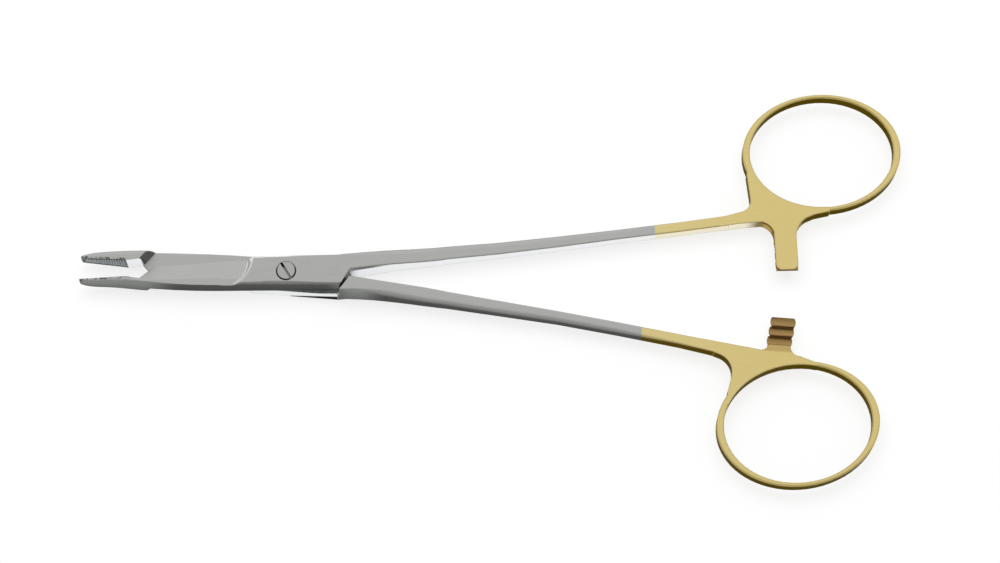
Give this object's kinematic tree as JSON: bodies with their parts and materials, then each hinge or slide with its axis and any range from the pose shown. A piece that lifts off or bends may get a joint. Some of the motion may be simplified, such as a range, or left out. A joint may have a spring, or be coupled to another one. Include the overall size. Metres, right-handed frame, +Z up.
{
  "type": "surgical needle holder",
  "caption": "Ring-handled needle holder with serrated jaw inserts, short scissor blades behind the jaws, a lap joint on a slotted screw, and a ratchet lock between the rings.",
  "frame": {"origin": "on the pivot axis, in the plane of the joint's flat underside on which the tool lies", "axes": "+X from the jaws to the finger rings along the middle line between the halves, +Y towards the upper half's ring, +Z up out of the slotted screw head"},
  "size_m": [0.1629, 0.0825, 0.0061],
  "materials": {
    "upper_half_steel": "satin steel, gold-plated ring end",
    "lower_half_steel": "satin steel, gold-plated ring end",
    "screw_steel": "turned and slotted",
    "insert_carbide": "cross-serrated, dull"
  },
  "bodies": {
    "lower_body": {"lower_half": "lower_half_steel", "pivot_screw": "screw_steel", "upper_jaw_insert": "insert_carbide"},
    "upper_body": {"upper_half": "upper_half_steel", "lower_jaw_insert": "insert_carbide"}
  },
  "joints": [
    {"name": "pivot", "type": "hinge", "parent": "lower_body", "child": "upper_body", "pos_m": [0, 0, 0], "axis": [0, 0, 1], "range_deg": [-5.9, 44]}
  ]
}
